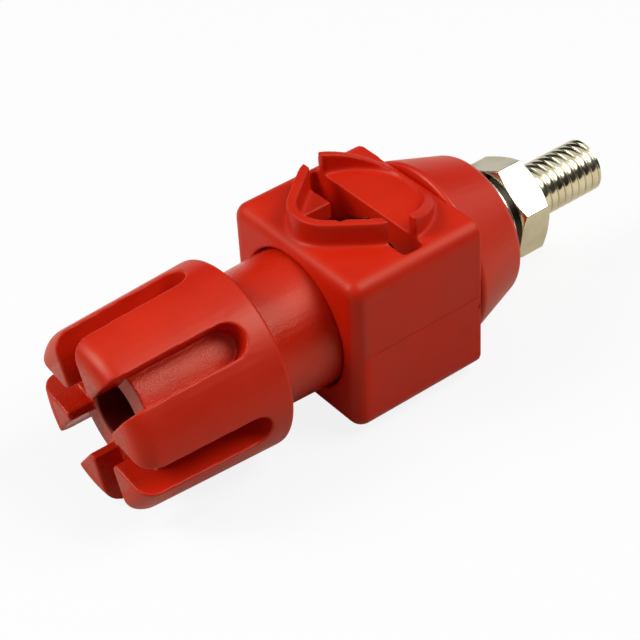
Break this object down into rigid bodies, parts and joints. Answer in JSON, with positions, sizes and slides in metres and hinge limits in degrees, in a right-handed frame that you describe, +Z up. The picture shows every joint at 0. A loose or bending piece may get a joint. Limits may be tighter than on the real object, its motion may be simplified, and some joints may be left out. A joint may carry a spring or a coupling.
{
  "type": "binding post",
  "caption": "Insulated high-current binding post: square body with a top wire port, screw-down finger knob, tapered rear insulator and threaded rear stud with nut.",
  "frame": {"origin": "on the post's axis, at the body block's rear face, which bears on the panel", "axes": "+X along the post towards the rear stud, +Z up out of the wire port, Y across the block"},
  "size_m": [0.0655, 0.0204, 0.0221],
  "materials": {
    "moulded_red": "semi-gloss moulded",
    "knob_red": "semi-gloss moulded, rough neck",
    "insulator_red": "semi-gloss moulded",
    "nickel_plate": "nickel-plated brass",
    "spring_steel": "dark spring steel",
    "plain_brass": "turned brass"
  },
  "bodies": {
    "root": {"body_block": "moulded_red", "contact_stud": "nickel_plate"},
    "clamp": {"pressure_plate": "nickel_plate"},
    "knob": {"clamp_knob": "knob_red", "threaded_bush": "plain_brass"},
    "backing": {"rear_insulator": "insulator_red", "flat_washer": "nickel_plate", "spring_washer": "spring_steel"},
    "nut": {"hex_nut": "nickel_plate"}
  },
  "joints": [
    {"name": "clamp_travel", "type": "slide", "parent": "root", "child": "clamp", "axis": [1, 0, 0], "range_m": [0, 0.006]},
    {"name": "knob_turn", "type": "hinge", "parent": "clamp", "child": "knob", "pos_m": [-0.03, 0, 0], "axis": [1, 0, 0], "range_deg": [0, 1440]},
    {"name": "backing_travel", "type": "slide", "parent": "root", "child": "backing", "axis": [1, 0, 0], "range_m": [0, 0.009]},
    {"name": "nut_turn", "type": "hinge", "parent": "backing", "child": "nut", "pos_m": [0.012, 0, 0], "axis": [1, 0, 0], "range_deg": [0, 3240]}
  ],
  "couplings": [
    {"joint": "knob_turn", "follows": "clamp_travel", "rad_per_m": 4188.7},
    {"joint": "nut_turn", "follows": "backing_travel", "rad_per_m": 6283.1}
  ]
}
